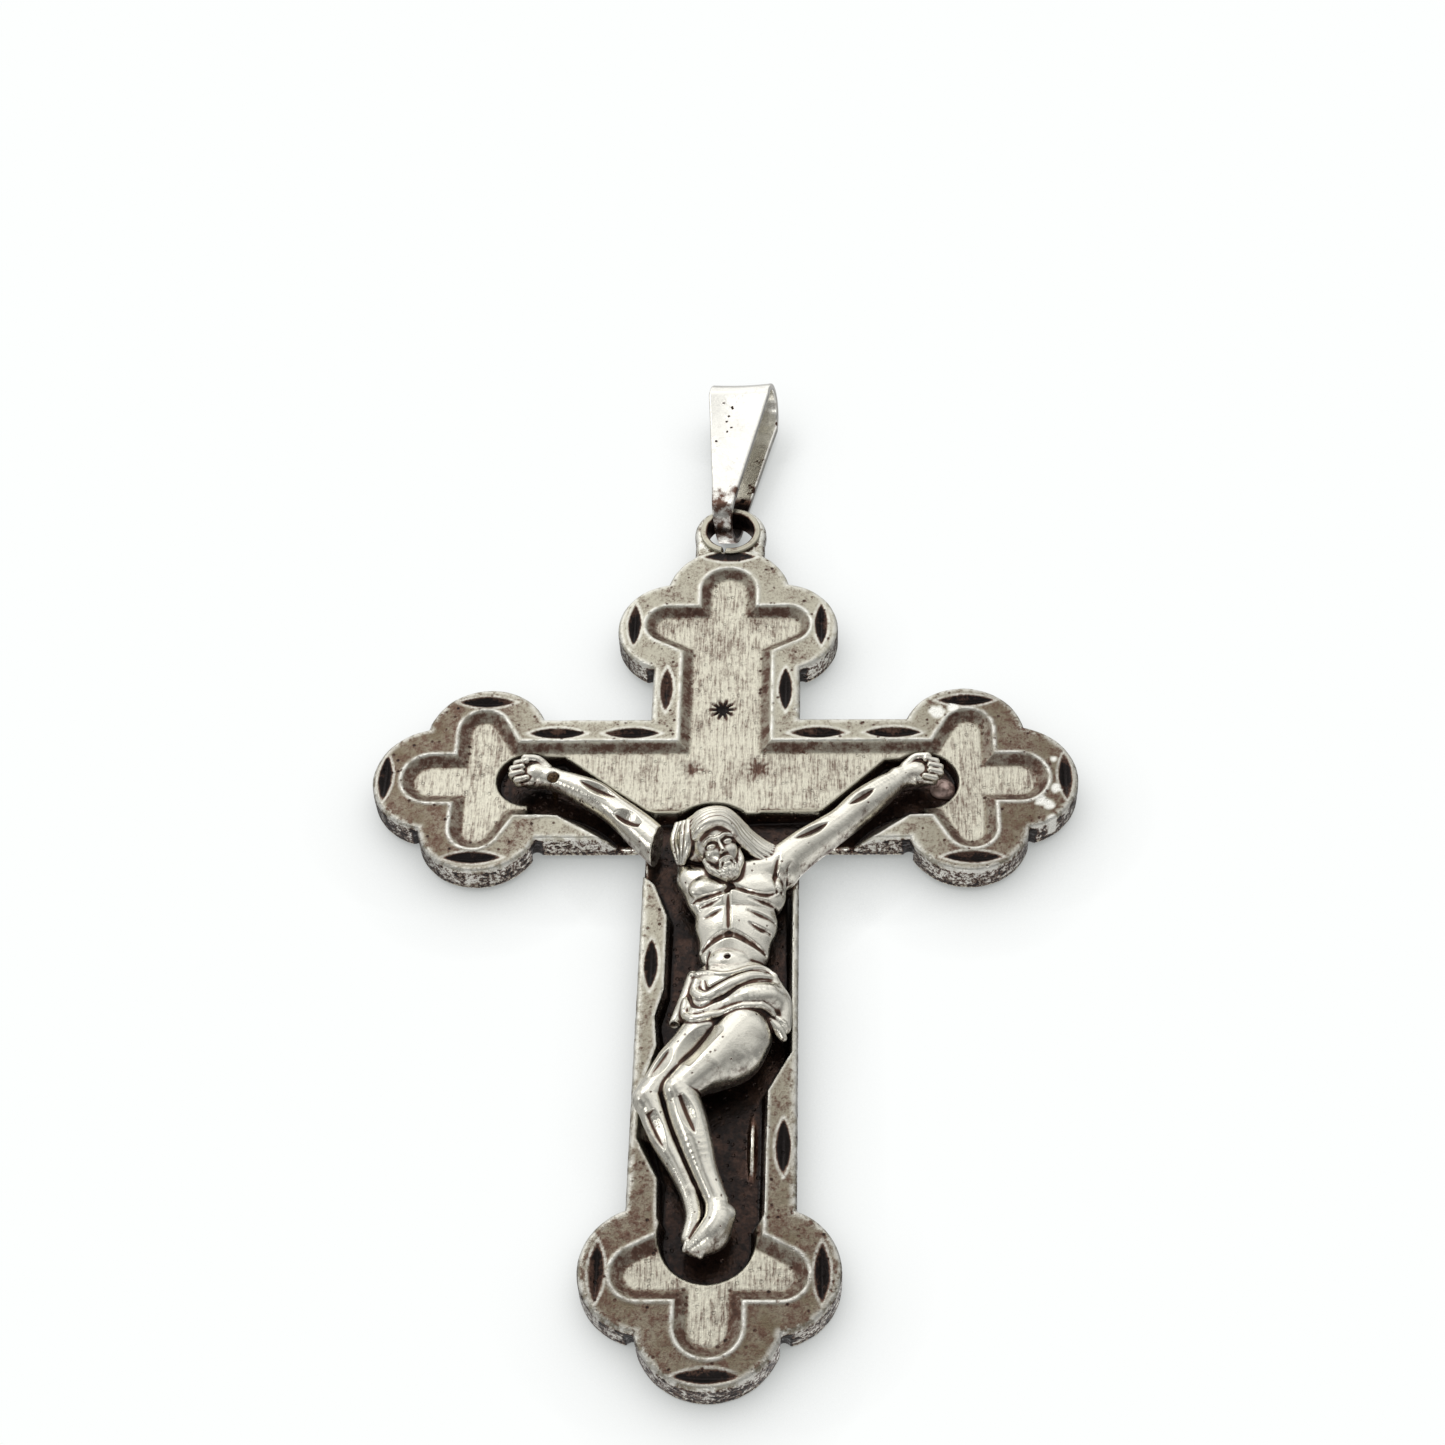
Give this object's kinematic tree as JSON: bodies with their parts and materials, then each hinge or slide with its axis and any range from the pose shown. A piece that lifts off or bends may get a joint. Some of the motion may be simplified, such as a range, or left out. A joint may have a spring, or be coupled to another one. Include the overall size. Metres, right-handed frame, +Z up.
{
  "type": "crucifix pendant",
  "caption": "Flat trefoil-ended cross with a raised corpus, a suspension ring in its lug and a tapered folded bail for a chain or cord.",
  "frame": {"origin": "centre of the crossing on the flat back face, mount back_face", "axes": "+Z up the cross towards the bail, -Y out of the front, +X to the viewer's right"},
  "size_m": [0.0466, 0.0068, 0.0791],
  "materials": {
    "cast_silver": "satin, pitted, with brown patina in the recesses",
    "ring_silver": "satin, patinated",
    "bail_silver": "bright polished, with tiny pits",
    "corpus_silver": "bright polished, with brown in the creases",
    "nail_metal": "dark oxidised",
    "solder": "dull, uneven"
  },
  "bodies": {
    "cross": {"cross_plate": "cast_silver", "corpus": "corpus_silver", "arm_fragment": "corpus_silver", "hand_nail": "nail_metal", "hand_solder": "solder"},
    "ring": {"suspension_ring": "ring_silver"},
    "bail": {"bail": "bail_silver"}
  },
  "joints": [
    {"name": "ring_turn", "type": "hinge", "parent": "cross", "child": "ring", "pos_m": [0, -0.0013, 0.022], "axis": [0, -1, 0], "range_deg": [-35, 35]},
    {"name": "bail_swing", "type": "hinge", "parent": "ring", "child": "bail", "pos_m": [-0.00029, -0.0013, 0.02408], "axis": [0.9848, -0.1392, -0.1035], "range_deg": [-95, 95]}
  ]
}
